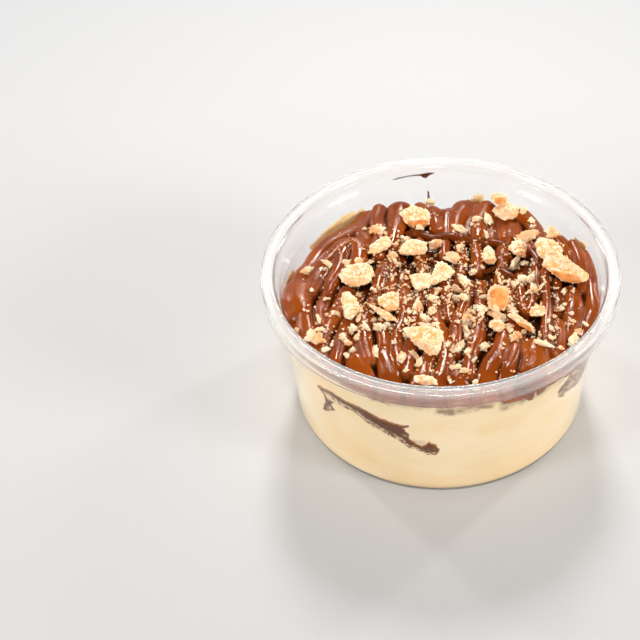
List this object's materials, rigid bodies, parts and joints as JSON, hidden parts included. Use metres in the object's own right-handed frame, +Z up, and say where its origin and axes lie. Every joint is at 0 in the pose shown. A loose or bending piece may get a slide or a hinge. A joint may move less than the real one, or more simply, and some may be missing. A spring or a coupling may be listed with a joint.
{
  "type": "layered cream dessert in a clear cup",
  "caption": "Chilled cream and chocolate dessert in a clear round lidless cup, with piped chocolate strands and broken biscuit on top.",
  "frame": {"origin": "on the table under the middle of the cup", "axes": "+Z up through the middle of the cup; -Y towards the front, where the chocolate streak shows through the wall; +X to the right seen from the front"},
  "size_m": [0.117, 0.117, 0.0574],
  "materials": {
    "clear_plastic": "thin clear moulded plastic, glossy",
    "cream": "smooth pale cream, soft satin",
    "chocolate": "glossy milk chocolate spread",
    "biscuit": "dry crumbly baked biscuit with browned crust"
  },
  "bodies": {
    "root": {"cup": "clear_plastic", "cream": "cream", "chocolate_streak": "chocolate", "chocolate": "chocolate", "biscuit_01": "biscuit", "biscuit_02": "biscuit", "biscuit_03": "biscuit", "biscuit_04": "biscuit", "biscuit_05": "biscuit", "biscuit_06": "biscuit", "biscuit_07": "biscuit", "biscuit_08": "biscuit", "biscuit_09": "biscuit", "biscuit_10": "biscuit", "biscuit_11": "biscuit", "biscuit_12": "biscuit", "biscuit_13": "biscuit", "biscuit_14": "biscuit", "biscuit_15": "biscuit", "biscuit_16": "biscuit", "biscuit_17": "biscuit", "biscuit_18": "biscuit", "biscuit_19": "biscuit", "biscuit_20": "biscuit"}
  },
  "joints": []
}
